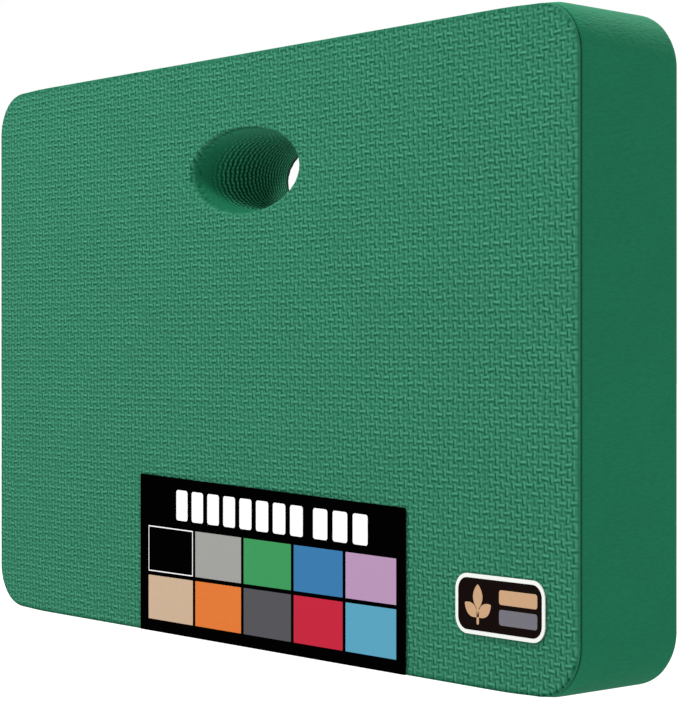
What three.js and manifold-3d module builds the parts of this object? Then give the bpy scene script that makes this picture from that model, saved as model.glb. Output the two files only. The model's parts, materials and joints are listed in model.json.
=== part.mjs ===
// A thick foam kneeling pad standing on its long edge, in millimetres, +Z up.
// X runs along the pad's width and Y through its thickness, with the kneeling face towards -Y.
// The pad is a laminate: a foam core between two embossed grip sheets. A hand hole with a soft
// hourglass wall goes through all three layers. A colour card and a small badge are stuck on the
// kneeling face. The origin is on the ground, under the middle of the whole object.

import * as THREE from 'three';
import Module from 'manifold-3d';

// Pad block
const PAD_WIDTH = 435;
const PAD_HEIGHT = 280;
const PAD_THICKNESS = 62;
const OUTLINE_RADIUS = 23;
const SHEET_THICKNESS = 2.3;
const GLUE_GAP = 0.3;
const FRONT_EDGE_RADIUS = 1.2;
const BACK_EDGE_RADIUS = 5;

// Hand hole: an oval a little off the pad's middle, which narrows from both faces to a waist half
// way through
const HOLE_CENTRE_X = 1.2;
const HOLE_CENTRE_Z = 224.5;
const HOLE_WAIST_HALF_WIDTH = 29.8;
const HOLE_WAIST_HALF_HEIGHT = 17.6;
const HOLE_FLARE_WIDTH = 13.2;
const HOLE_FLARE_HEIGHT = 2.9;
const HOLE_WALL_POWER = 1.5;
const HOLE_OVERSHOOT = 6;

// Colour card: its top edge falls a little towards the right
const CARD_LEFT_X = -81.5;
const CARD_WIDTH = 198.5;
const CARD_BOTTOM_Z = 1.2;
const CARD_LEFT_HEIGHT = 77;
const CARD_RIGHT_HEIGHT = 71;
const CARD_THICKNESS = 0.5;

// Badge sticker
const BADGE_WIDTH = 52;
const BADGE_HEIGHT = 25;
const BADGE_CORNER_RADIUS = 7;
const BADGE_CENTRE_X = 174.5;
const BADGE_CENTRE_Z = 35;
const BADGE_THICKNESS = CARD_THICKNESS;

// Looks
const SHEET_GREEN = 0x3d8e6c;
const CORE_GREEN = 0x246b4e;
const CARD_BLACK = 0x0b0b0b;
const BADGE_WHITE = 0xf2f2ee;
const FOAM_ROUGHNESS = 0.9;
const PRINT_ROUGHNESS = 0.45;

// Faceting
const CORNER_STEPS = 12;
const EDGE_STEPS = 5;
const HOLE_SIDES = 56;
const HOLE_WALL_STEPS = 9;
const BADGE_CORNER_STEPS = 6;

// What is stuck on the kneeling face stands proud of it, so the block sits back by half of that
// and the whole object stays centred on the origin.
const STICKER_STAND_OFF = GLUE_GAP + CARD_THICKNESS;
const BLOCK_CENTRE_Y = STICKER_STAND_OFF / 2;
const FRONT_Y = -PAD_THICKNESS / 2;
const BACK_Y = PAD_THICKNESS / 2;

const wasm = await Module();
wasm.setup();

// Closed solid through equal rings of points, stacked along +Y and flat at both ends.
// Each ring turns from +X towards +Z.
function loft(rings) {
  const sides = rings[0].length;
  const positions = [];
  const indices = [];
  for (const ring of rings) {
    for (const point of ring) positions.push(point.x, point.y, point.z);
  }
  for (let level = 0; level < rings.length - 1; level += 1) {
    for (let side = 0; side < sides; side += 1) {
      const next = (side + 1) % sides;
      const low = level * sides + side;
      const lowNext = level * sides + next;
      indices.push(low, low + sides, lowNext, lowNext, low + sides, lowNext + sides);
    }
  }
  const lastRing = (rings.length - 1) * sides;
  for (const [start, towardsBack] of [[0, false], [lastRing, true]]) {
    const hub = positions.length / 3;
    const centre = new THREE.Vector3();
    for (const point of rings[start / sides]) centre.add(point);
    centre.divideScalar(sides);
    positions.push(centre.x, centre.y, centre.z);
    for (let side = 0; side < sides; side += 1) {
      const here = start + side;
      const next = start + (side + 1) % sides;
      indices.push(hub, towardsBack ? next : here, towardsBack ? here : next);
    }
  }
  const geometry = new THREE.BufferGeometry();
  geometry.setAttribute('position', new THREE.Float32BufferAttribute(positions, 3));
  geometry.setIndex(indices);
  return geometry;
}

// Rectangle with round corners, centred on (0, 0), turning from +X towards +Z.
function roundedRectangle(width, height, radius, steps) {
  const outline = [];
  const corners = [[1, 1], [-1, 1], [-1, -1], [1, -1]];
  corners.forEach(([signX, signZ], corner) => {
    for (let step = 0; step <= steps; step += 1) {
      const angle = (corner + step / steps) * Math.PI / 2;
      outline.push(new THREE.Vector2(
        signX * (width / 2 - radius) + radius * Math.cos(angle),
        signZ * (height / 2 - radius) + radius * Math.sin(angle),
      ));
    }
  });
  return outline;
}

function ringAt(outline, y, centreX = 0, centreZ = 0) {
  return outline.map((point) => new THREE.Vector3(centreX + point.x, y, centreZ + point.y));
}

// How far the side wall has drawn in at a depth y, where the front and back edges are rounded.
function edgeInset(y) {
  const fromFront = y - FRONT_Y;
  const fromBack = BACK_Y - y;
  const [radius, depth] = fromFront < fromBack
    ? [FRONT_EDGE_RADIUS, fromFront]
    : [BACK_EDGE_RADIUS, fromBack];
  if (depth >= radius) return 0;
  return radius - Math.sqrt(radius ** 2 - (radius - depth) ** 2);
}

// One layer of the block, from yStart to yEnd, with the rounded outline of the whole pad.
function layer(yStart, yEnd) {
  const levels = new Set([yStart, yEnd]);
  for (let step = 0; step <= EDGE_STEPS; step += 1) {
    const turn = step / EDGE_STEPS * Math.PI / 2;
    levels.add(FRONT_Y + FRONT_EDGE_RADIUS * (1 - Math.cos(turn)));
    levels.add(BACK_Y - BACK_EDGE_RADIUS * (1 - Math.cos(turn)));
  }
  const inside = [...levels].filter((y) => y >= yStart && y <= yEnd).sort((a, b) => a - b);
  return loft(inside.map((y) => {
    const inset = edgeInset(y);
    const outline = roundedRectangle(
      PAD_WIDTH - 2 * inset, PAD_HEIGHT - 2 * inset, OUTLINE_RADIUS - inset, CORNER_STEPS);
    return ringAt(outline, y, 0, PAD_HEIGHT / 2);
  }));
}

// The space of the hand hole. Its wall is a superellipse in section: level with each face at the
// rim, and straight through at the waist. It carries on past both faces to cut them cleanly.
function handHole() {
  const oval = (flare, y) => {
    const ring = [];
    for (let side = 0; side < HOLE_SIDES; side += 1) {
      const angle = side / HOLE_SIDES * 2 * Math.PI;
      ring.push(new THREE.Vector3(
        HOLE_CENTRE_X + (HOLE_WAIST_HALF_WIDTH + flare * HOLE_FLARE_WIDTH) * Math.cos(angle),
        y,
        HOLE_CENTRE_Z + (HOLE_WAIST_HALF_HEIGHT + flare * HOLE_FLARE_HEIGHT) * Math.sin(angle),
      ));
    }
    return ring;
  };
  const rings = [oval(1, FRONT_Y - HOLE_OVERSHOOT)];
  for (let step = -HOLE_WALL_STEPS; step <= HOLE_WALL_STEPS; step += 1) {
    const turn = Math.abs(step) / HOLE_WALL_STEPS * Math.PI / 2;
    const depth = Math.sin(turn) ** (2 / HOLE_WALL_POWER);
    const flare = 1 - Math.cos(turn) ** (2 / HOLE_WALL_POWER);
    rings.push(oval(flare, Math.sign(step) * depth * PAD_THICKNESS / 2));
  }
  rings.push(oval(1, BACK_Y + HOLE_OVERSHOOT));
  return loft(rings);
}

function toManifold(geometry) {
  return new wasm.Manifold(new wasm.Mesh({
    numProp: 3,
    vertProperties: new Float32Array(geometry.attributes.position.array),
    triVerts: new Uint32Array(geometry.index.array),
  }));
}

function cut(geometry, tool) {
  const result = toManifold(geometry).subtract(toManifold(tool)).getMesh();
  const trimmed = new THREE.BufferGeometry();
  trimmed.setAttribute('position', new THREE.Float32BufferAttribute(result.vertProperties, 3));
  trimmed.setIndex([...result.triVerts]);
  return trimmed;
}

function matt(color, roughness) {
  return new THREE.MeshStandardMaterial({ color, roughness, metalness: 0, flatShading: true });
}

function named(name, geometry, material) {
  const mesh = new THREE.Mesh(geometry, material);
  mesh.name = name;
  return mesh;
}

// The three foam layers, each with the hand hole through it
function padBlock() {
  const sheetFoam = matt(SHEET_GREEN, FOAM_ROUGHNESS);
  const coreFoam = matt(CORE_GREEN, FOAM_ROUGHNESS);
  const hole = handHole();
  const frontSeam = FRONT_Y + SHEET_THICKNESS;
  const backSeam = BACK_Y - SHEET_THICKNESS;
  const block = new THREE.Group();
  block.add(
    named('front_grip_sheet', cut(layer(FRONT_Y, frontSeam), hole), sheetFoam),
    named('foam_core', cut(layer(frontSeam + GLUE_GAP, backSeam - GLUE_GAP), hole), coreFoam),
    named('back_grip_sheet', cut(layer(backSeam, BACK_Y), hole), sheetFoam),
  );
  return block;
}

// A flat sticker of any outline, lying just clear of the kneeling face
function sticker(outline, thickness, centreX, centreZ) {
  const back = FRONT_Y - GLUE_GAP;
  return loft([
    ringAt(outline, back - thickness, centreX, centreZ),
    ringAt(outline, back, centreX, centreZ),
  ]);
}

function colourCard() {
  const outline = [
    new THREE.Vector2(CARD_WIDTH, 0),
    new THREE.Vector2(CARD_WIDTH, CARD_RIGHT_HEIGHT),
    new THREE.Vector2(0, CARD_LEFT_HEIGHT),
    new THREE.Vector2(0, 0),
  ];
  const solid = sticker(outline, CARD_THICKNESS, CARD_LEFT_X, CARD_BOTTOM_Z);
  return named('colour_card', solid, matt(CARD_BLACK, PRINT_ROUGHNESS));
}

function badgeSticker() {
  const outline = roundedRectangle(
    BADGE_WIDTH, BADGE_HEIGHT, BADGE_CORNER_RADIUS, BADGE_CORNER_STEPS);
  const solid = sticker(outline, BADGE_THICKNESS, BADGE_CENTRE_X, BADGE_CENTRE_Z);
  return named('badge_sticker', solid, matt(BADGE_WHITE, PRINT_ROUGHNESS));
}

const kneelingPad = new THREE.Group();
kneelingPad.add(padBlock(), colourCard(), badgeSticker());
kneelingPad.position.y = BLOCK_CENTRE_Y;

export default kneelingPad;
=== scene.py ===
import json
import math

import bmesh
import bpy
import numpy as np
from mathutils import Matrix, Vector


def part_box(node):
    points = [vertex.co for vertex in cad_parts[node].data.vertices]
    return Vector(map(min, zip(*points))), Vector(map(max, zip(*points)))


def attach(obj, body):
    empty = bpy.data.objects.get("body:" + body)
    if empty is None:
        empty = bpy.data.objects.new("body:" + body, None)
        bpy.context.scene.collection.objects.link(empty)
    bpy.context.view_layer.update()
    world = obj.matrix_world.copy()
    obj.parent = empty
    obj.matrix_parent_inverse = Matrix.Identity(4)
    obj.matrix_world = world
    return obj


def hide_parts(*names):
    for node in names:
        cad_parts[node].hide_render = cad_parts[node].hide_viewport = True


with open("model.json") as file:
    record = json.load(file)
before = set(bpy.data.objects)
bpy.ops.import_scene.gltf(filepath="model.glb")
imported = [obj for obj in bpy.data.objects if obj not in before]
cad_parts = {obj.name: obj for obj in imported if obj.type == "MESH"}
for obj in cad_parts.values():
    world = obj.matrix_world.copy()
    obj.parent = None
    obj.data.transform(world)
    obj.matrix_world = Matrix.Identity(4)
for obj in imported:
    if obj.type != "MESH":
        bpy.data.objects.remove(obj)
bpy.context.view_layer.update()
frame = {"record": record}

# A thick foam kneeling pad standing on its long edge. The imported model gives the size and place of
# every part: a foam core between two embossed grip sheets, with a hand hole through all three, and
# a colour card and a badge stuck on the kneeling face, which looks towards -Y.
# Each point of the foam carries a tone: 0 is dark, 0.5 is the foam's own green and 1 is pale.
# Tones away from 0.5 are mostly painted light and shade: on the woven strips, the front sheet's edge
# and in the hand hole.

MM = 0.001
QUARTER_TURN = math.pi / 2

front_low, front_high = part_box("front_grip_sheet")
core_low, core_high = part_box("foam_core")
back_low, back_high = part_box("back_grip_sheet")
card_low, card_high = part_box("colour_card")
badge_low, badge_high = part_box("badge_sticker")
hole_box = frame["record"]["physics"]["openings"][0]["box_m"]

# Block
PAD_WIDTH = core_high[0] - core_low[0]
PAD_HEIGHT = core_high[2] - core_low[2]
MIDDLE_Z = (core_low[2] + core_high[2]) / 2
FRONT_Y = front_low[1]
BACK_Y = back_high[1]
MIDDLE_Y = (FRONT_Y + BACK_Y) / 2
HALF_THICKNESS = (BACK_Y - FRONT_Y) / 2
OUTLINE_RADIUS = 23 * MM
FRONT_EDGE_RADIUS = 1.2 * MM
BACK_EDGE_RADIUS = 5 * MM
SEAM_LIP = 0.8 * MM
CORNER_SIGNS = ((1, 1), (-1, 1), (-1, -1), (1, -1))

# Foam gives: at the front face the long edges draw in, most of all where they meet the corners. The
# corners are a little rounder towards the back, and the top ones are tighter just behind the face.
GIVE_REACH = 25 * MM
GIVE_DEPTH = 9 * MM
EDGE_DRAW = 0.3 * MM
CORNER_DIP = 0.65 * MM
DIP_FROM_END = 21 * MM
DIP_WIDTH = 13 * MM
BACK_CORNER_GIVE = 1.2 * MM
TOP_CORNER_FILL = 3.2 * MM
SLIDE_REACH = 60 * MM

# Hand hole: an oval that narrows to a waist half way through the pad
HOLE_CENTRE = (Vector(hole_box[0]) + Vector(hole_box[1])) / 2
HOLE_Z = HOLE_CENTRE.z - MIDDLE_Z
HOLE_WAIST = (29.8 * MM, 17.6 * MM)
HOLE_FLARE = (13.2 * MM, 2.9 * MM)
HOLE_WALL_POWER = 1.5
HOLE_RIM_DEPTH = 0.35 * MM
HOLE_NEIGHBOURHOOD = (60 * MM, 36 * MM)
FLARE_SEARCH = (-1.0, 12.0)
FLARE_HALVINGS = 26

# Tones of the foam, and the painted shade on the front sheet's edge
DEEPEST_TONE = -0.25
OWN_TONE = 0.5
EDGE_TONE = 0.52
UNDERSIDE_SHADE = 0.5
UPPER_SHADE = 0.25
SHADE_ON_FACE = 0.3
SHADE_FADE = 0.7

# Basket weave: raised strips, upright and lying by turns, at every half repeat
WEAVE_REPEAT = (6.23 * MM, 6.14 * MM)
WEAVE_PHASE = (0.575, 0.586)
WEAVE_HEIGHT = 0.3 * MM
STRIP_HALF_LENGTH = 0.62
STRIP_HALF_WIDTH = 0.23
CROWN_POWER = 0.8
LEAST_PRESSED = 0.5
PRESSED_SPREAD = 0.8
STRIP_TILT = 0.3
STRIP_STRAY = 0.22
# Painted highlight and shade of the strips: a pale copy moved up and right, a dark copy moved down
# and left
PAINTED_SHADING_SHIFT = 0.105
UPRIGHT_PAINTED_SHADING = (1.35, 1.7)
LYING_PAINTED_SHADING = (0.95, 0.8)
LOWEST_WEAVE_TONE = -0.1
FINE_STEPS = (-0.34, -0.2, -0.07, 0.07, 0.2, 0.34, 0.5)
COARSE_STEPS = (-0.3, -0.1, 0.1, 0.3, 0.5)

# Drift of the weave: long wave, bend of it and the bend's wave, short wave and where that starts
DRIFT = 0.15 * MM
DRIFT_ACROSS = (5.1 * MM, 1.7, 8.3 * MM, 3.7 * MM, 2.0)
DRIFT_UP = (4.7 * MM, 1.4, 9.1 * MM, 4.1 * MM, 0.6)

# Repeatable scatter of the strips, and the steps that keep its three uses apart
SCATTER_WAVES = (12.9898, 78.233)
SCATTER_SPREAD = 437.5453
PRESSED_STEP = 31
TILT_STEPS = (7, 57)
STRAY_STEPS = (17, 5)


def smoothstep(low, high, value):
    t = np.clip((value - low) / (high - low), 0, 1)
    return t * t * (3 - 2 * t)


# ---- Shapes that the three foam layers share ----

def outline_distance(x, z, inset):
    """Distance outside the pad's rounded outline, drawn in by inset, and its outward direction."""
    radius = OUTLINE_RADIUS - inset
    qx = np.abs(x) - (PAD_WIDTH / 2 - inset - radius)
    qz = np.abs(z) - (PAD_HEIGHT / 2 - inset - radius)
    px, pz = np.maximum(qx, 0), np.maximum(qz, 0)
    length = np.hypot(px, pz)
    inside = np.minimum(np.maximum(qx, qz), 0)
    corner = (qx > 0) & (qz > 0)
    safe = np.where(length > 0, length, 1)
    nx = np.where(corner, px / safe, (qx > qz).astype(float)) * np.sign(x)
    nz = np.where(corner, pz / safe, (qx <= qz).astype(float)) * np.sign(z)
    return length + inside - radius, nx, nz


def hole_flare_at_depth(depth):
    """How far the hole has opened, 0 at the waist and 1 at a face, at a depth from that face."""
    reach = np.clip(1 - depth / HALF_THICKNESS, 0, 1)
    return 1 - (1 - reach ** HOLE_WALL_POWER) ** (1 / HOLE_WALL_POWER)


def hole_depth_at_flare(flare):
    reach = (1 - (1 - np.clip(flare, 0, 1)) ** HOLE_WALL_POWER) ** (1 / HOLE_WALL_POWER)
    return HALF_THICKNESS * (1 - reach)


def hole_axes(flare):
    return HOLE_WAIST[0] + HOLE_FLARE[0] * flare, HOLE_WAIST[1] + HOLE_FLARE[1] * flare


def hole_flare_at_point(x, z):
    """The flare whose oval passes through a point of the face, over 1 outside the hole's rim."""
    low, high = np.full(x.shape, FLARE_SEARCH[0]), np.full(x.shape, FLARE_SEARCH[1])
    for _ in range(FLARE_HALVINGS):
        middle = (low + high) / 2
        half_width, half_height = hole_axes(middle)
        outside = (x / half_width) ** 2 + (z / half_height) ** 2 > 1
        low = np.where(outside, middle, low)
        high = np.where(outside, high, middle)
    return (low + high) / 2


def drift(along, across, long_wave, bend, bend_wave, short_wave, start):
    """Slow wander of the pattern, as foam creeps when it leaves the embossing roller."""
    bent = bend * np.sin(across / bend_wave)
    return DRIFT * (np.sin(along / long_wave + bent) + np.sin(across / short_wave + start))


def scatter(across, along):
    """A number from 0 to 1 that is different for each strip."""
    wave = np.sin(across * SCATTER_WAVES[0] + along * SCATTER_WAVES[1])
    return np.modf(np.abs(wave) * SCATTER_SPREAD)[0]


def strips(x, z, shift=0.0):
    """Heights of upright and lying strips, 0 to 1 on a crown, moved up and right by shift."""
    wandered_x = x + drift(x, z, *DRIFT_ACROSS)
    wandered_z = z + drift(z, x, *DRIFT_UP)
    u = (wandered_x / WEAVE_REPEAT[0] - WEAVE_PHASE[0]) * 2 - shift
    v = (wandered_z / WEAVE_REPEAT[1] - WEAVE_PHASE[1]) * 2 - shift
    straight = STRIP_HALF_LENGTH - STRIP_HALF_WIDTH
    heights = []
    for along, across, turn in ((v, u, 0), (u, v, 1)):
        row = np.round(across)
        column = np.round((along - row - turn) / 2)
        off_middle = along - row - turn - 2 * column
        lean = scatter(column + TILT_STEPS[0], row + TILT_STEPS[1] * turn) - 0.5
        aside = scatter(row + STRAY_STEPS[0], column + STRAY_STEPS[1] * turn) - 0.5
        sideways = across - row - STRIP_STRAY * aside - STRIP_TILT * lean * off_middle
        beyond = np.maximum(np.abs(off_middle) - straight, 0)
        reach = np.hypot(sideways, beyond) / STRIP_HALF_WIDTH
        pressed = LEAST_PRESSED + PRESSED_SPREAD * scatter(row, column + PRESSED_STEP * turn)
        heights.append(np.clip(1 - reach ** 2, 0, 1) ** CROWN_POWER * pressed)
    return heights


def weave(x, z):
    """Height of the strips, and their tone: a painted highlight up and right of a crown, painted
    shade down and left.
    """
    upright, lying = strips(x, z)
    lit_upright, lit_lying = strips(x, z, PAINTED_SHADING_SHIFT)
    dim_upright, dim_lying = strips(x, z, -PAINTED_SHADING_SHIFT)
    tone = UPRIGHT_PAINTED_SHADING[0] * lit_upright - UPRIGHT_PAINTED_SHADING[1] * dim_upright
    tone += LYING_PAINTED_SHADING[0] * lit_lying - LYING_PAINTED_SHADING[1] * dim_lying
    return np.maximum(upright, lying), np.clip(OWN_TONE + tone / 2, LOWEST_WEAVE_TONE, 1)


def quarter_round(radius, depth):
    """How far a rounded edge of that radius draws in at a depth below its start."""
    if depth >= radius:
        return 0.0
    return radius - math.sqrt(max(radius ** 2 - (radius - depth) ** 2, 0))


def wall_inset(y):
    """How far the block's side wall draws in at y, where its front and back edges are rounded."""
    at_front = quarter_round(FRONT_EDGE_RADIUS, y - FRONT_Y)
    at_back = quarter_round(BACK_EDGE_RADIUS, BACK_Y - y)
    return max(at_front, at_back)


def lip_inset(distance):
    """How far a layer's edge draws in at a distance from its glued seam."""
    return quarter_round(SEAM_LIP, distance)


def arc_share(steps):
    """Shares of a rounding's depth that are even along its arc, from its tight end."""
    return [1 - math.cos(step / steps * QUARTER_TURN) for step in range(steps + 1)]


def settle(points):
    """Let the foam give: shift points near the outline by an amount that varies through the block."""
    x, z = points[:, 0].copy(), points[:, 2] - MIDDLE_Z
    out, nx, nz = outline_distance(x, z, 0)
    near_edge = smoothstep(-GIVE_REACH, 0, out)
    depth = points[:, 1] - FRONT_Y
    at_front = 1 - smoothstep(0, GIVE_DEPTH, depth)

    # Corner radius: how much tighter it is, and how far each corner's arc slides out with it
    along = np.clip(depth / (BACK_Y - FRONT_Y), 0, 1)
    fill = TOP_CORNER_FILL * (z > 0) * (1 - along)
    tighter = (fill - BACK_CORNER_GIVE * along) * (1 - at_front) * near_edge
    for axis, place, normal, half in ((0, x, nx, PAD_WIDTH / 2), (2, z, nz, PAD_HEIGHT / 2)):
        arc_start = half - OUTLINE_RADIUS
        near_corner = smoothstep(arc_start - SLIDE_REACH, arc_start, np.abs(place))
        points[:, axis] += tighter * (1 - np.abs(normal)) * near_corner * np.sign(place)

    # Long edges, drawn in at the front
    from_end = PAD_WIDTH / 2 - np.abs(x)
    dip = CORNER_DIP * np.exp(-((from_end - DIP_FROM_END) / DIP_WIDTH) ** 2)
    points[:, 2] -= (EDGE_DRAW + dip) * nz * np.abs(nz) * at_front * near_edge


# ---- Meshes ----

def link(name, data):
    piece = bpy.data.objects.new(name, data)
    bpy.context.scene.collection.objects.link(piece)
    return piece


def face_outwards(mesh):
    shape = bmesh.new()
    shape.from_mesh(mesh)
    bmesh.ops.recalc_face_normals(shape, faces=shape.faces)
    shape.to_mesh(mesh)
    shape.free()


def band(loop, following):
    """Quads from one closed loop of vertices to the next, facing as the patch inside them does."""
    nexts, following_nexts = np.roll(loop, -1), np.roll(following, -1)
    return np.column_stack([nexts, loop, following, following_nexts]).tolist()


def zip_loops(outer, outer_angle, inner, inner_angle):
    """Triangles between two closed loops round one centre, both given by rising angle."""
    outer_order, inner_order = np.argsort(outer_angle), np.argsort(inner_angle)
    a, b = outer[outer_order].tolist(), inner[inner_order].tolist()
    whole_turn = 2 * math.pi
    angle_a = np.append(outer_angle[outer_order], outer_angle[outer_order][0] + whole_turn)
    angle_b = np.append(inner_angle[inner_order], inner_angle[inner_order][0] + whole_turn)
    faces = []
    i = j = 0
    while i < len(a) or j < len(b):
        here_a, here_b = a[i % len(a)], b[j % len(b)]
        if j >= len(b) or (i < len(a) and angle_a[i + 1] <= angle_b[j + 1]):
            faces.append([here_a, a[(i + 1) % len(a)], here_b])
            i += 1
        else:
            faces.append([here_a, b[(j + 1) % len(b)], here_b])
            j += 1
    return faces


class Shell:
    """The points, tones and faces of one foam layer, gathered loop by loop."""

    def __init__(self):
        self.points = []
        self.tones = []
        self.faces = []
        self.total = 0

    def add(self, x, y, z, tones):
        """Add points, with z measured from the pad's middle, and return their numbers."""
        depth = np.broadcast_to(y, np.shape(x))
        self.points.append(np.column_stack([x, depth, z + MIDDLE_Z]))
        self.tones.append(np.broadcast_to(tones, np.shape(x)))
        numbers = np.arange(self.total, self.total + len(x))
        self.total += len(x)
        return numbers

    def close(self, name, sides):
        """Let the foam settle, close each flat side between its two loops, and make the mesh."""
        points = np.vstack(self.points)
        settle(points)
        for loops in sides:
            angles = [np.arctan2(points[loop, 2] - HOLE_CENTRE.z, points[loop, 0] - HOLE_CENTRE.x)
                      for loop in loops]
            self.faces += zip_loops(loops[0], angles[0], loops[1], angles[1])
        mesh = bpy.data.meshes.new(name)
        mesh.from_pydata(points.tolist(), [], self.faces)
        attribute = mesh.attributes.new("tone", "FLOAT", "POINT")
        attribute.data.foreach_set("value", np.concatenate(self.tones).astype(np.float32))
        mesh.polygons.foreach_set("use_smooth", [True] * len(mesh.polygons))
        mesh.update()
        face_outwards(mesh)
        return link(name, mesh)


# ---- Grip sheets ----

GRID_MARGIN = 3
OUTLINE_MARGIN = 0.1 * MM
RIM_MARGIN = 0.005
EDGE_FADE = (-0.2 * MM, 0.15 * MM)
EDGE_ARC_STEPS = 6
EDGE_LIP_STEPS = 4
CARRIED_TONE = 1.2
RIM_STEPS = 8
RIM_WEAVE_LOSS = 0.4
RIM_SHADE = 0.55
BACK_RIM_SHADOW_FROM = 0.5


def weave_lines(repeat, phase, half_extent, steps):
    """Grid lines across the sheet, set so that they run along the crowns and feet of the strips."""
    pitch = repeat / 2
    count = int(half_extent / pitch) + GRID_MARGIN
    lines = [(number + step) * pitch + phase * repeat
             for number in range(-count, count + 1) for step in steps]
    return np.array(sorted(line for line in lines if abs(line) < half_extent + pitch / 2))


def boundary_loops(quads):
    """Closed loops of the vertices round the edge of a patch of quads, in the quads' own sense."""
    starts = quads.ravel()
    ends = np.roll(quads, -1, axis=1).ravel()
    size = int(quads.max()) + 1
    forward = starts.astype(np.int64) * size + ends
    backward = ends.astype(np.int64) * size + starts
    lone = ~np.isin(forward, backward)
    following = dict(zip(starts[lone].tolist(), ends[lone].tolist()))
    loops = []
    while following:
        here = next(iter(following))
        loop = []
        while here in following:
            loop.append(here)
            here = following.pop(here)
        loops.append(np.array(loop))
    return sorted(loops, key=len, reverse=True)


def face_grid(edge_radius, steps):
    """Points and quads of a sheet's flat face, its outer and inner loops, and the inner angles."""
    xs = weave_lines(WEAVE_REPEAT[0], WEAVE_PHASE[0], PAD_WIDTH / 2, steps)
    zs = weave_lines(WEAVE_REPEAT[1], WEAVE_PHASE[1], PAD_HEIGHT / 2, steps)
    grid_x, grid_z = np.meshgrid(xs, zs)
    x, z = grid_x.ravel(), grid_z.ravel()
    rim_width, rim_height = hole_axes(float(hole_flare_at_depth(HOLE_RIM_DEPTH)))

    out, _, _ = outline_distance(x, z, edge_radius)
    from_hole = np.hypot((x - HOLE_CENTRE.x) / rim_width, (z - HOLE_Z) / rim_height) - 1
    keep = (out < OUTLINE_MARGIN) & (from_hole > -RIM_MARGIN)
    index = np.arange(x.size).reshape(grid_x.shape)
    corners = np.stack([index[:-1, :-1], index[:-1, 1:], index[1:, 1:], index[1:, :-1]], -1)
    quads = corners.reshape(-1, 4)
    quads = quads[keep[quads].all(axis=1)]
    used, quads = np.unique(quads, return_inverse=True)
    quads = quads.reshape(-1, 4)
    x, z = x[used], z[used]

    # The loops round the patch move onto the outline and onto the hole's oval
    outer_loop, inner_loop = boundary_loops(quads)
    out, nx, nz = outline_distance(x[outer_loop], z[outer_loop], edge_radius)
    x[outer_loop] -= out * nx
    z[outer_loop] -= out * nz
    swing = np.arctan2((z[inner_loop] - HOLE_Z) / rim_height,
                       (x[inner_loop] - HOLE_CENTRE.x) / rim_width)
    x[inner_loop] = HOLE_CENTRE.x + rim_width * np.cos(swing)
    z[inner_loop] = HOLE_Z + rim_height * np.sin(swing)
    return x, z, quads, outer_loop, inner_loop, swing


def dip_to_hole(x, z):
    """How far the face has sunk towards the hand hole at each point."""
    near_hole = np.hypot((x - HOLE_CENTRE.x) / HOLE_NEIGHBOURHOOD[0],
                         (z - HOLE_Z) / HOLE_NEIGHBOURHOOD[1]) < 1
    depth = np.zeros(x.size)
    depth[near_hole] = hole_depth_at_flare(
        hole_flare_at_point(x[near_hole] - HOLE_CENTRE.x, z[near_hole] - HOLE_Z))
    return depth


def rolled_edge(shell, loop, start, face_y, seam_y, edge_radius, carried, edge_shade):
    """Round a sheet's outer edge to the side wall, then go down it to the lip of the seam."""
    side = math.copysign(1, seam_y - face_y)
    thickness = abs(seam_y - face_y)
    x, start_y, z = start
    _, nx, nz = outline_distance(x, z, edge_radius)
    round_depth = min(edge_radius, thickness - SEAM_LIP)
    levels = [round_depth * share for share in arc_share(EDGE_ARC_STEPS)[1:]]
    levels += [thickness - SEAM_LIP * share
               for share in reversed(arc_share(EDGE_LIP_STEPS)[:-1])]
    for depth in levels:
        ring_y = face_y + side * depth
        lip = lip_inset(thickness - depth)
        reach = edge_radius - wall_inset(ring_y) - lip
        share = min(depth / round_depth, 1)
        blend = (1 - share) ** 2
        tone = EDGE_TONE * (1 - lip / SEAM_LIP) + carried * CARRIED_TONE * math.sqrt(blend)
        # The edge's painted shade eases off as the edge rounds down to the side wall
        following = shell.add(x + reach * nx, ring_y + (start_y - face_y) * blend, z + reach * nz,
                              tone - edge_shade * (1 - SHADE_FADE * share))
        shell.faces += band(loop, following)
        loop = following
    return loop


def flared_rim(shell, loop, swing, face_y, seam_y):
    """Carry a sheet's face into the hand hole, down to the seam, with painted shade growing inwards.
    """
    side = math.copysign(1, seam_y - face_y)
    thickness = abs(seam_y - face_y)
    for step in range(1, RIM_STEPS + 1):
        share = step / RIM_STEPS
        depth = HOLE_RIM_DEPTH + (thickness - HOLE_RIM_DEPTH) * share
        half_width, half_height = hole_axes(float(hole_flare_at_depth(depth)))
        x = HOLE_CENTRE.x + half_width * np.cos(swing)
        z = half_height * np.sin(swing) + HOLE_Z
        raised, tone = weave(x, z)
        sunk = WEAVE_HEIGHT * (1 - raised * (1 - share)) * (1 - share)
        tone = OWN_TONE + (tone - OWN_TONE) * (1 - RIM_WEAVE_LOSS * share)
        # Painted shade grows into the hole; on the back sheet it runs to the deepest tone, a painted
        # shadow round the back rim
        tone = tone * (1 - RIM_SHADE * share)
        if side < 0:
            tone += (DEEPEST_TONE - tone) * float(smoothstep(0, BACK_RIM_SHADOW_FROM, share))
        following = shell.add(x, face_y + side * (depth + sunk), z, tone)
        shell.faces += band(loop, following)
        loop = following
    return loop


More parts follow.
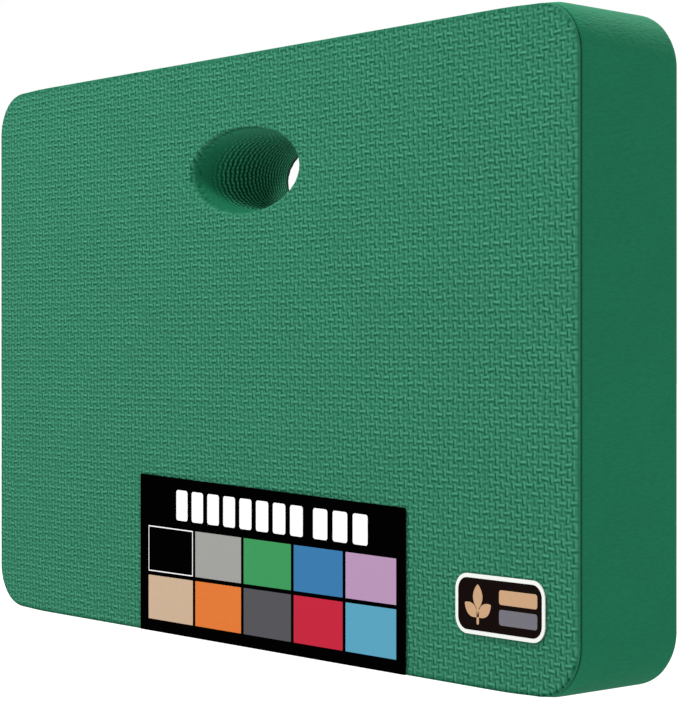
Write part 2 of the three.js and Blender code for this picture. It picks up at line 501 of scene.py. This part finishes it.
def grip_sheet(name, face_y, seam_y, edge_radius, steps):
    """An embossed sheet: woven face, rolled outer edge, flared hole rim and a flat glued side."""
    side = math.copysign(1, seam_y - face_y)
    x, z, quads, outer_loop, inner_loop, swing = face_grid(edge_radius, steps)
    out, _, nz = outline_distance(x, z, edge_radius)
    edge_fade = smoothstep(*EDGE_FADE, -out)
    raised, tone = weave(x, z)
    y = face_y + side * (dip_to_hole(x, z) + (1 - raised * edge_fade) * WEAVE_HEIGHT)
    tone = OWN_TONE + (tone - OWN_TONE) * edge_fade
    carried = tone[outer_loop] - OWN_TONE

    # Painted shade on the front sheet's edge: strong underneath, a little at the top
    edge_shade = np.zeros(len(outer_loop))
    if side > 0:
        upwards = nz[outer_loop]
        edge_shade = UNDERSIDE_SHADE * np.maximum(-upwards, 0) + UPPER_SHADE * np.maximum(upwards, 0)
    tone[outer_loop] -= edge_shade * SHADE_ON_FACE

    shell = Shell()
    shell.add(x, y, z, tone)
    shell.faces += quads.tolist()
    start = (x[outer_loop], y[outer_loop], z[outer_loop])
    outer_end = rolled_edge(
        shell, outer_loop, start, face_y, seam_y, edge_radius, carried, edge_shade)
    inner_end = flared_rim(shell, inner_loop, swing, face_y, seam_y)
    return shell.close(name, [(outer_end, inner_end)])


# ---- Foam core ----

SIDE_LIP_STEPS = 5
SIDE_WALL_STEPS = 12
SIDE_BACK_STEPS = 8
CORNER_STEPS = 20
STRAIGHT_STEPS = 36

# Hand hole's wall: rings of beads, fading in from the front and out at the back
HOLE_SIDES = 300
HOLE_LEVELS = 190
RIB_PITCH = 2.3 * MM
RIB_HEIGHT = 0.6 * MM
RIB_FADE_IN = (7 * MM, 18 * MM)
RIB_END = 59 * MM
RIB_FADE_OUT = 2 * MM
RIB_POWER = 1.3
BEAD_PITCH = 2.6 * MM
BEAD_STRENGTH = 0.5
RIB_BEND = (0.10, 23, 2 * MM)
RIB_RIPPLE = (0.06, 61)

# Tones of the hand hole's wall: painted shade, painted light on its upper half, and painted light and
# shade on the ribs
SHADED_WALL_TONE = 0.32
ARCH_PAINTED_LIGHT = 0.44
SILL_PAINTED_LIGHT = 0.0
RIB_TONE = 1.7
BEAD_TONE = 0.6
MEAN_RIB_TONE = 0.26
FRINGE_TONE = 0.4
FRINGE_DEPTH = 6 * MM
FAR_SHADE = (0.8 * MM, 3.2 * MM)


def core_side_levels():
    """(y, inset, tone) down the core's side wall, with a dark lip at each seam."""
    lip = [SEAM_LIP * share for share in arc_share(SIDE_LIP_STEPS)]
    wall_start, wall_end = core_low[1] + SEAM_LIP, BACK_Y - BACK_EDGE_RADIUS
    round_end = core_high[1] - SEAM_LIP
    levels = [core_low[1] + depth for depth in lip]
    levels += [wall_start + (wall_end - wall_start) * step / SIDE_WALL_STEPS
               for step in range(1, SIDE_WALL_STEPS)]
    levels += [wall_end + (round_end - wall_end) * step / SIDE_BACK_STEPS
               for step in range(SIDE_BACK_STEPS)]
    levels += [core_high[1] - depth for depth in reversed(lip)]
    profile = []
    for y in levels:
        lip_here = lip_inset(min(y - core_low[1], core_high[1] - y))
        profile.append((y, wall_inset(y) + lip_here, OWN_TONE * (1 - lip_here / SEAM_LIP)))
    return profile


def outline_points(inset):
    """Points round the pad's outline, evenly along each corner and each side."""
    radius = OUTLINE_RADIUS - inset
    half_x = PAD_WIDTH / 2 - inset - radius
    half_z = PAD_HEIGHT / 2 - inset - radius

    def on_corner(corner, angle):
        sign_x, sign_z = CORNER_SIGNS[corner % len(CORNER_SIGNS)]
        return np.array((sign_x * half_x + radius * math.cos(angle),
                         sign_z * half_z + radius * math.sin(angle)))

    points = []
    for corner in range(len(CORNER_SIGNS)):
        for step in range(CORNER_STEPS + 1):
            points.append(on_corner(corner, (corner + step / CORNER_STEPS) * QUARTER_TURN))
        start = points[-1]
        end = on_corner(corner + 1, (corner + 1) * QUARTER_TURN)
        for step in range(1, STRAIGHT_STEPS):
            points.append(start + (end - start) * (step / STRAIGHT_STEPS))
    return np.array(points)


def core_side(shell):
    """The core's smooth side wall: returns its first and last loops."""
    loops = []
    for y, inset, tone in core_side_levels():
        outline = outline_points(inset)
        loops.append(shell.add(outline[:, 0], y, outline[:, 1], tone))
    for here, following in zip(loops, loops[1:]):
        shell.faces += band(here, following)
    return loops[0], loops[-1]


def hole_wall_profile():
    """(y, flare, lean, run) down the hole's wall, where run is the arc length from the seam."""
    ys = np.linspace(front_high[1], back_low[1], HOLE_LEVELS)
    flare = hole_flare_at_depth(np.minimum(ys - FRONT_Y, BACK_Y - ys))
    width, _ = hole_axes(flare)
    lean = np.gradient(width, ys)
    run = np.concatenate([[0], np.cumsum(np.hypot(np.diff(width), np.diff(ys)))])
    return zip(ys, flare, lean, run)


def ribs(angle, girth, run):
    """Ridge and bead, each 0 to 1, round one level of the hole's wall."""
    bend, bends, bend_wave = RIB_BEND
    ripple, ripples = RIB_RIPPLE
    count = run / RIB_PITCH + bend * np.sin(angle * bends + run / bend_wave)
    count += ripple * np.sin(angle * ripples)
    ridge = (0.5 + 0.5 * np.cos(2 * math.pi * count)) ** RIB_POWER
    stagger = math.pi * (round(run / RIB_PITCH) % 2)
    bead = 0.5 + 0.5 * np.cos(2 * math.pi * girth / BEAD_PITCH + stagger)
    return ridge, bead


def hole_wall_tone(x, y, z, angle, ridge, bead, strength):
    """Tone of one level of the hole's wall in painted light and shade: lit ribs with shaded grooves,
    the face's weave dying out, and a painted shadow at the far rim.
    """
    depth = y - FRONT_Y
    # Painted shade over the wall, with painted light on its upper half
    above = np.where(np.sin(angle) > 0, ARCH_PAINTED_LIGHT, SILL_PAINTED_LIGHT)
    tone = SHADED_WALL_TONE + np.sin(angle) ** 2 * above
    # Painted highlights on the ribs and beads, painted shade in the grooves between them
    tone += (ridge * (1 - BEAD_TONE + BEAD_TONE * bead) - MEAN_RIB_TONE) * RIB_TONE * strength
    _, woven = weave(x, z)
    fringe = 1 - float(smoothstep(core_low[1] - FRONT_Y, FRINGE_DEPTH, depth))
    tone += (woven - OWN_TONE) * FRINGE_TONE * fringe
    # Painted shadow at the far rim
    far = 1 - float(smoothstep(*FAR_SHADE, core_high[1] - y))
    tone += (DEEPEST_TONE - tone) * far
    return np.clip(tone, DEEPEST_TONE, 1)


def core_hole(shell):
    """The ribbed wall of the hand hole in the core: returns its first and last loops."""
    angle = np.arange(HOLE_SIDES) / HOLE_SIDES * 2 * math.pi
    loops = []
    for y, flare, lean, run in hole_wall_profile():
        depth = y - FRONT_Y
        half_width, half_height = hole_axes(flare)
        strength = float(smoothstep(*RIB_FADE_IN, depth))
        strength *= float(smoothstep(0, RIB_FADE_OUT, RIB_END - depth))
        girth = angle * 0.5 * (half_width + half_height)
        ridge, bead = ribs(angle, girth, run)
        beaded = ridge * (1 - BEAD_STRENGTH + BEAD_STRENGTH * bead)
        lift = RIB_HEIGHT * strength * (beaded - 0.5) / math.hypot(1, lean)
        nx, nz = np.cos(angle) / half_width, np.sin(angle) / half_height
        norm = np.hypot(nx, nz)
        x = HOLE_CENTRE.x + half_width * np.cos(angle) - lift * nx / norm
        z = HOLE_Z + half_height * np.sin(angle) - lift * nz / norm
        tone = hole_wall_tone(x, y, z, angle, ridge, bead, strength)
        loops.append(shell.add(x, y, z, tone))
    for here, following in zip(loops, loops[1:]):
        shell.faces += band(following, here)
    return loops[0], loops[-1]


def foam_core():
    """The smooth foam slab: side wall with a lip at each seam, and the ribbed hand hole."""
    shell = Shell()
    outer_front, outer_back = core_side(shell)
    inner_front, inner_back = core_hole(shell)
    return shell.close("foam_block", [(outer_front, inner_front), (outer_back, inner_back)])


# ---- Materials ----

# Light that reaches the kneeling face and the right side, as a share of full white
FACE_LIGHT = 1.57
SIDE_LIGHT = 1.08
BRIGHTEST_SURFACE = 0.9

# Display colours of the foam at its deepest tone, its dark tone, its own tone and its pale tone
# The deepest green is a painted shadow colour; the dark and pale tones mostly show painted shade and
# painted highlights
SHEET_GREENS = ((0, 30, 14), (10, 94, 64), (49, 124, 95), (77, 151, 122))
CORE_GREENS = ((0, 30, 14), (0, 66, 38), (28, 105, 75), (60, 136, 106))
SHEET_GRAIN = 0.2
CORE_GRAIN = 0.7

# Noise patterns: scale, detail and roughness
MOTTLE = (30, 3, 0.55)
SKIN_GRAIN = (1100, 2, 0.55)
FOAM_GLOSS = (300, 2, 0.5)
PRINT_UNEVEN = (900, 2, 0.5)

# Where each pattern goes from dark to light, and how dark it gets
MOTTLE_STOPS = (0.3, 0.7)
FINE_STOPS = (0.35, 0.65)
MOTTLE_DARK = 0.95
SPECKLE_DARK = 0.9
PRINT_DARK = 0.97

GRAIN_STRETCH = (1, 0.3, 1)
GRAIN_DEPTH = 0.6 * MM
FOAM_ROUGHNESS = (0.7, 0.85)
FOAM_SPECULAR = 0.03
PRINT_ROUGHNESS = (0.4, 0.5)


def linear(red, green, blue, light):
    """Surface colour that shows as 0 to 255 display values under that much light."""
    channels = []
    for value in (red, green, blue):
        share = value / 255
        bright = share / 12.92 if share <= 0.04045 else ((share + 0.055) / 1.055) ** 2.4
        channels.append(min(bright / light, BRIGHTEST_SURFACE))
    return (*channels, 1)


def grey(level):
    return (level, level, level, 1)


def new_material(name):
    material = bpy.data.materials.new(name)
    material.use_nodes = True
    tree = material.node_tree
    return material, tree, tree.nodes["Principled BSDF"]


def object_coordinates(tree):
    return tree.nodes.new("ShaderNodeTexCoord").outputs["Object"]


def noise(tree, coordinates, scale, detail, roughness):
    node = tree.nodes.new("ShaderNodeTexNoise")
    node.inputs["Scale"].default_value = scale
    node.inputs["Detail"].default_value = detail
    node.inputs["Roughness"].default_value = roughness
    tree.links.new(coordinates, node.inputs["Vector"])
    return node.outputs["Fac"]


def ramp(tree, value, positions, colours):
    node = tree.nodes.new("ShaderNodeValToRGB")
    elements = node.color_ramp.elements
    while len(elements) < len(positions):
        elements.new(0.5)
    for element, position, colour in zip(elements, positions, colours):
        element.position = position
        element.color = colour
    tree.links.new(value, node.inputs["Fac"])
    return node.outputs["Color"]


def remap(tree, value, low, high, start=0.0):
    node = tree.nodes.new("ShaderNodeMapRange")
    node.inputs["From Min"].default_value = start
    node.inputs["To Min"].default_value = low
    node.inputs["To Max"].default_value = high
    tree.links.new(value, node.inputs["Value"])
    return node.outputs["Result"]


def multiply(tree, first, second):
    node = tree.nodes.new("ShaderNodeMix")
    node.data_type = "RGBA"
    node.blend_type = "MULTIPLY"
    node.inputs["Factor"].default_value = 1
    tree.links.new(first, node.inputs["A"])
    tree.links.new(second, node.inputs["B"])
    return node.outputs["Result"]


def bump(tree, height, distance, strength):
    node = tree.nodes.new("ShaderNodeBump")
    node.inputs["Strength"].default_value = strength
    node.inputs["Distance"].default_value = distance
    tree.links.new(height, node.inputs["Height"])
    return node.outputs["Normal"]


def stretched(tree, coordinates, factors):
    node = tree.nodes.new("ShaderNodeVectorMath")
    node.operation = "MULTIPLY"
    node.inputs[1].default_value = factors
    tree.links.new(coordinates, node.inputs[0])
    return node.outputs["Vector"]


def tone_colour(tree, colours):
    """Colour that follows the mesh's tone from its deepest to its palest."""
    tone = tree.nodes.new("ShaderNodeAttribute")
    tone.attribute_name = "tone"
    span = 1 - DEEPEST_TONE
    positions = [(stop - DEEPEST_TONE) / span for stop in (DEEPEST_TONE, 0, OWN_TONE, 1)]
    spread = remap(tree, tone.outputs["Fac"], 0, 1, DEEPEST_TONE)
    return ramp(tree, spread, positions, colours)


def foam_material(name, greens, grain, light):
    """Closed-cell foam: the colour follows the tone, with a fine skin grain and soft mottling."""
    material, tree, shader = new_material(name)
    coordinates = object_coordinates(tree)
    base = tone_colour(tree, [linear(*green, light) for green in greens])
    mottle = ramp(tree, noise(tree, coordinates, *MOTTLE), MOTTLE_STOPS,
                  (grey(MOTTLE_DARK), grey(1)))
    grain_height = noise(tree, stretched(tree, coordinates, GRAIN_STRETCH), *SKIN_GRAIN)
    speckle = ramp(tree, grain_height, FINE_STOPS, (grey(SPECKLE_DARK), grey(1)))
    colour = multiply(tree, multiply(tree, base, mottle), speckle)
    rough = remap(tree, noise(tree, coordinates, *FOAM_GLOSS), *FOAM_ROUGHNESS)
    relief = bump(tree, grain_height, GRAIN_DEPTH, grain)
    tree.links.new(colour, shader.inputs["Base Color"])
    tree.links.new(rough, shader.inputs["Roughness"])
    tree.links.new(relief, shader.inputs["Normal"])
    shader.inputs["Specular IOR Level"].default_value = FOAM_SPECULAR
    return material


def print_material(name, colour):
    """Printed film: an almost even colour, with faint unevenness in it and in its roughness."""
    material, tree, shader = new_material(name)
    uneven = noise(tree, object_coordinates(tree), *PRINT_UNEVEN)
    darker = tuple(channel * PRINT_DARK for channel in colour[:3]) + (1,)
    tree.links.new(ramp(tree, uneven, FINE_STOPS, (darker, colour)), shader.inputs["Base Color"])
    tree.links.new(remap(tree, uneven, *PRINT_ROUGHNESS), shader.inputs["Roughness"])
    shader.inputs["Specular IOR Level"].default_value = 0.0
    return material


# ---- Colour card and badge ----

CARD_WIDTH = card_high[0] - card_low[0]
CARD_HEIGHT = card_high[2] - card_low[2]
CARD_SPLIT = 27.9 * MM
CARD_TAPER = 6 * MM / (CARD_HEIGHT - CARD_SPLIT)
CARD_OVERHANG = 0.7 * MM
CARD_CORNER = 0.5 * MM
INK_THICKNESS = 0.04 * MM
INK_CORNER = 0.2 * MM
CORNER_ARC_STEPS = 5

# Name and display colour of each ink on the card
CARD_INKS = (
    ("card_black", 2, 2, 2),
    ("card_white", 255, 255, 255),
    ("card_grey", 160, 161, 156),
    ("card_green", 64, 152, 92),
    ("card_blue", 60, 122, 172),
    ("card_lilac", 184, 148, 184),
    ("card_tan", 203, 176, 149),
    ("card_orange", 224, 122, 58),
    ("card_slate", 85, 85, 90),
    ("card_red", 196, 42, 64),
    ("card_sky", 91, 163, 190),
)
BLACK_INK = 0
WHITE_INK = 1

# Two rows of colour squares: bottom, top and the ink of each square
SQUARE_ROWS = ((29.0 * MM, 51.7 * MM, (0, 2, 3, 4, 5)), (5.3 * MM, 27.0 * MM, (6, 7, 8, 9, 10)))
SQUARES_LEFT = 7.2 * MM
FIRST_SQUARE_WIDTH = 37.25 * MM
SQUARE_SHRINK = 0.9756
SQUARE_GAP = 2.05 * MM
SQUARE_FRAME = 0.55 * MM

# Two groups of plain blocks in place of a title: left end, number of blocks and pitch
TITLE_GROUPS = ((30.8 * MM, 8, 12.7 * MM), (136.3 * MM, 3, 13.8 * MM))
TITLE_BOTTOM = 56.0 * MM
TITLE_TOP = 71.2 * MM
TITLE_BLOCK_SHARE = 0.73
TITLE_BLOCK_CORNER = 1.4 * MM

# Badge
BADGE_INKS = (
    ("badge_white", 244, 246, 242),
    ("badge_dark", 22, 15, 13),
    ("badge_tan", 205, 165, 128),
    ("badge_grey", 118, 116, 124),
)
BADGE_CORNER = 7 * MM
BADGE_CORNER_STEPS = 10
BADGE_BORDER = 1.7 * MM
SPROUT_PLACE = (13.5 * MM, 4.2 * MM)
STEM_HALF_WIDTH = 0.7 * MM
STEM_HEIGHT = 11 * MM
SIDE_LEAF = (9.5 * MM, 5.2 * MM)
SIDE_LEAF_LEAN = 0.95
SIDE_LEAF_RISE = 3.2 * MM
TOP_LEAF = (10.5 * MM, 5.6 * MM)
TOP_LEAF_RISE = 6.2 * MM
LEAF_STEPS = 14
LEAF_FULLNESS = 0.8
BARS_LEFT = 26 * MM
BARS_FROM_RIGHT = 4.2 * MM
BARS = ((13.6 * MM, 19.6 * MM, 2), (5.2 * MM, 11.6 * MM, 3))
BAR_CORNER = 1.2 * MM


def slab(shape, outline, front_y, back_y, ink):
    """A flat closed slab of any convex outline, given as (x, z) turning from +X towards +Z."""
    fronts = [shape.verts.new((x, front_y, z)) for x, z in outline]
    backs = [shape.verts.new((x, back_y, z)) for x, z in outline]
    faces = [shape.faces.new(fronts), shape.faces.new(list(reversed(backs)))]
    for here in range(len(outline)):
        after = (here + 1) % len(outline)
        faces.append(shape.faces.new((fronts[after], fronts[here], backs[here], backs[after])))
    for face in faces:
        face.material_index = ink


def finish_slabs(name, shape, inks):
    bmesh.ops.recalc_face_normals(shape, faces=shape.faces)
    mesh = bpy.data.meshes.new(name)
    shape.to_mesh(mesh)
    shape.free()
    for ink_name, red, green, blue in inks:
        mesh.materials.append(print_material(ink_name, linear(red, green, blue, FACE_LIGHT)))
    return link(name, mesh)


def round_rectangle(left, bottom, right, top, radius, steps=CORNER_ARC_STEPS):
    outline = []
    centres = ((right - radius, top - radius), (left + radius, top - radius),
               (left + radius, bottom + radius), (right - radius, bottom + radius))
    for corner, (centre_x, centre_z) in enumerate(centres):
        for step in range(steps + 1):
            angle = (corner + step / steps) * QUARTER_TURN
            outline.append((centre_x + radius * math.cos(angle),
                            centre_z + radius * math.sin(angle)))
    return outline


def on_card(left, bottom, right, top, radius):
    """A rectangle measured from the card's bottom left corner, placed with the card's taper."""
    placed = []
    for across, up in round_rectangle(left, bottom, right, top, radius):
        if up > CARD_SPLIT:
            up = CARD_SPLIT + (up - CARD_SPLIT) * (1 - CARD_TAPER * across / CARD_WIDTH)
        placed.append((card_low[0] + across, card_low[2] + up))
    return placed


def colour_squares(shape, ink_front, front):
    """Two rows of squares that narrow towards the right. The black one has a white frame."""
    for bottom, top, inks in SQUARE_ROWS:
        left, width = SQUARES_LEFT, FIRST_SQUARE_WIDTH
        for ink in inks:
            right = left + width
            whole = on_card(left, bottom, right, top, INK_CORNER)
            slab(shape, whole, ink_front, front, WHITE_INK if ink == BLACK_INK else ink)
            if ink == BLACK_INK:
                inner = on_card(left + SQUARE_FRAME, bottom + SQUARE_FRAME,
                                right - SQUARE_FRAME, top - SQUARE_FRAME, INK_CORNER)
                slab(shape, inner, ink_front - INK_THICKNESS, ink_front, BLACK_INK)
            left = right + SQUARE_GAP
            width *= SQUARE_SHRINK


def title_blocks(shape, ink_front, front):
    for start, count, pitch in TITLE_GROUPS:
        for number in range(count):
            left = start + number * pitch
            block = on_card(left, TITLE_BOTTOM, left + TITLE_BLOCK_SHARE * pitch, TITLE_TOP,
                            TITLE_BLOCK_CORNER)
            slab(shape, block, ink_front, front, WHITE_INK)


def colour_card():
    """Black card with ten colour squares and a row of plain blocks in place of a title."""
    shape = bmesh.new()
    front, back = card_low[1], card_high[1]
    body = on_card(0, -CARD_OVERHANG, CARD_WIDTH, CARD_HEIGHT, CARD_CORNER)
    slab(shape, body, front, back, BLACK_INK)
    colour_squares(shape, front - INK_THICKNESS, front)
    title_blocks(shape, front - INK_THICKNESS, front)
    return finish_slabs("colour_range_card", shape, CARD_INKS)


def leaf(base_x, base_z, length, width, lean):
    """A pointed leaf from its base, leaning by an angle from straight up."""
    edge = []
    for step in range(LEAF_STEPS + 1):
        share = step / LEAF_STEPS
        edge.append((share * length, width / 2 * math.sin(math.pi * share) ** LEAF_FULLNESS))
    rim = edge + [(along, -across) for along, across in reversed(edge[1:-1])]
    outline = []
    for along, across in rim:
        outline.append((base_x + along * math.sin(lean) + across * math.cos(lean),
                        base_z + along * math.cos(lean) - across * math.sin(lean)))
    return outline


def sprout(shape, x, z, front, back, ink):
    """A stem with a leaf to each side and one on top, which lies over the others."""
    stem = round_rectangle(x - STEM_HALF_WIDTH, z, x + STEM_HALF_WIDTH, z + STEM_HEIGHT,
                           STEM_HALF_WIDTH)
    slab(shape, stem, front, back, ink)
    for lean in (SIDE_LEAF_LEAN, -SIDE_LEAF_LEAN):
        slab(shape, leaf(x, z + SIDE_LEAF_RISE, *SIDE_LEAF, lean), front, back, ink)
    slab(shape, leaf(x, z + TOP_LEAF_RISE, *TOP_LEAF, 0), front - INK_THICKNESS, back, ink)


def badge():
    """White-edged sticker with a sprout beside two plain bars."""
    shape = bmesh.new()
    white, dark, tan = range(3)
    front, back = badge_low[1], badge_high[1]
    left, right = badge_low[0], badge_high[0]
    bottom, top = badge_low[2], badge_high[2]
    body = round_rectangle(left, bottom, right, top, BADGE_CORNER, BADGE_CORNER_STEPS)
    slab(shape, body, front, back, white)
    field = round_rectangle(
        left + BADGE_BORDER, bottom + BADGE_BORDER, right - BADGE_BORDER, top - BADGE_BORDER,
        BADGE_CORNER - BADGE_BORDER, BADGE_CORNER_STEPS)
    first, second = front - INK_THICKNESS, front - 2 * INK_THICKNESS
    slab(shape, field, first, front, dark)
    sprout(shape, left + SPROUT_PLACE[0], bottom + SPROUT_PLACE[1], second, first, tan)
    for low, high, ink in BARS:
        bar = round_rectangle(left + BARS_LEFT, bottom + low, right - BARS_FROM_RIGHT,
                              bottom + high, BAR_CORNER)
        slab(shape, bar, second, first, ink)
    return finish_slabs("sprout_badge", shape, BADGE_INKS)


# ---- Build ----

def place(piece, node, slot_name):
    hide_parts(node)
    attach(piece, "root")


def place_foam(piece, material, node, slot_name):
    piece.data.materials.append(material)
    place(piece, node, slot_name)


sheet_skin = foam_material("sheet_foam", SHEET_GREENS, SHEET_GRAIN, FACE_LIGHT)
core_skin = foam_material("core_foam", CORE_GREENS, CORE_GRAIN, SIDE_LIGHT)
front_sheet = grip_sheet(
    "woven_front_sheet", FRONT_Y, front_high[1], FRONT_EDGE_RADIUS, FINE_STEPS)
place_foam(front_sheet, sheet_skin, "front_grip_sheet", "sheet_foam")
place_foam(foam_core(), core_skin, "foam_core", "core_foam")
back_sheet = grip_sheet("woven_back_sheet", BACK_Y, back_low[1], BACK_EDGE_RADIUS, COARSE_STEPS)
place_foam(back_sheet, sheet_skin, "back_grip_sheet", "sheet_foam")
place(colour_card(), "colour_card", "card_print")
place(badge(), "badge_sticker", "badge_print")


# ---- Studio ----

FLOOR_HALF_SIZE = 6.0
FLOOR_GREY = 0.12
FLOOR_GLOW = 1.15
FLOOR_ROUGHNESS = 0.9
KEY_LIGHT = {"place": (-0.34, -0.66, 1.55), "size": 0.5, "power": 35.5}
TOP_LIGHT = {"place": (0.08, 0.62, 0.95), "size": 0.2, "power": 8}
CAMERA_SENSOR = 36
CAMERA_LENS = 112
CAMERA_NEAR = 0.05
CAMERA_DISTANCE = 1.016
CAMERA_STAND = 51.22
CAMERA_TURN = (89.972, 0, 49.93)


def studio_floor():
    """A plain floor that glows enough to stay white."""
    mesh = bpy.data.meshes.new("studio_floor")
    half = FLOOR_HALF_SIZE
    mesh.from_pydata([(half * sign_x, half * sign_y, 0) for sign_x, sign_y in CORNER_SIGNS],
                     [], [(0, 1, 2, 3)])
    floor = link("studio_floor", mesh)
    material, _, shader = new_material("pale_floor")
    shader.inputs["Base Color"].default_value = grey(FLOOR_GREY)
    shader.inputs["Roughness"].default_value = FLOOR_ROUGHNESS
    shader.inputs["Specular IOR Level"].default_value = 0.0
    shader.inputs["Emission Color"].default_value = grey(1)
    shader.inputs["Emission Strength"].default_value = FLOOR_GLOW
    mesh.materials.append(material)


def disk_light(name, settings, target):
    light = bpy.data.lights.new(name, "AREA")
    light.shape = "DISK"
    light.size = settings["size"]
    light.energy = settings["power"]
    lamp = link(name, light)
    lamp.location = settings["place"]
    aim = Vector(target) - Vector(settings["place"])
    lamp.rotation_euler = aim.to_track_quat("-Z", "Y").to_euler()


def white_world():
    world = bpy.data.worlds.new("studio")
    world.use_nodes = True
    background = world.node_tree.nodes["Background"]
    background.inputs["Color"].default_value = grey(1)
    background.inputs["Strength"].default_value = 1.0
    bpy.context.scene.world = world


def studio_camera():
    """Level with the pad's middle, to the right of its kneeling face."""
    camera = bpy.data.cameras.new("camera")
    camera.sensor_fit = "HORIZONTAL"
    camera.sensor_width = CAMERA_SENSOR
    camera.lens = CAMERA_LENS
    camera.clip_start = CAMERA_NEAR
    viewer = link("camera", camera)
    stand = math.radians(CAMERA_STAND)
    viewer.location = (CAMERA_DISTANCE * math.sin(stand),
                       MIDDLE_Y - CAMERA_DISTANCE * math.cos(stand), MIDDLE_Z)
    viewer.rotation_euler = [math.radians(turn) for turn in CAMERA_TURN]
    bpy.context.scene.camera = viewer


studio_floor()
disk_light("key", KEY_LIGHT, (0, 0, MIDDLE_Z))
disk_light("top", TOP_LIGHT, (PAD_WIDTH / 2, 0, 2 * MIDDLE_Z))
white_world()
studio_camera()
bpy.context.scene.view_settings.view_transform = "Standard"
